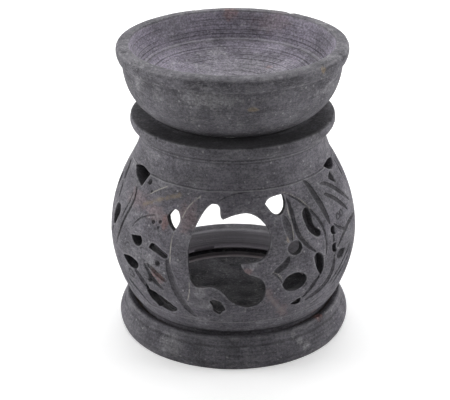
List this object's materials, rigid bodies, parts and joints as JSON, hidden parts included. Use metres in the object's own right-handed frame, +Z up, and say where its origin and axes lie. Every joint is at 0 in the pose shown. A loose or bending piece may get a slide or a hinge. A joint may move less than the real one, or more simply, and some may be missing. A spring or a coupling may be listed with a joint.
{
  "type": "essential oil burner",
  "caption": "Carved stone oil burner: a turned base and pierced round pot with a front window and candle doorway, and a loose bowl on top.",
  "frame": {"origin": "centre of the base's flat underside, where the burner stands", "axes": "+Z up along the turning axis; -Y is the front, with the large window; +X is to the right in the front view; the candle doorway faces +Y"},
  "size_m": [0.0834, 0.0812, 0.1],
  "materials": {
    "base_stone": "honed, dusty",
    "cement": "matte",
    "pot_stone": "honed, dusty",
    "bowl_stone": "honed, with fine turning rings"
  },
  "bodies": {
    "stand": {"pot": "pot_stone", "base": "base_stone", "cement_ring": "cement"},
    "dish": {"bowl": "bowl_stone"}
  },
  "joints": [
    {"name": "bowl_lift", "type": "slide", "parent": "stand", "child": "dish", "axis": [0, 0, 1], "range_m": [0, 0.05]}
  ]
}
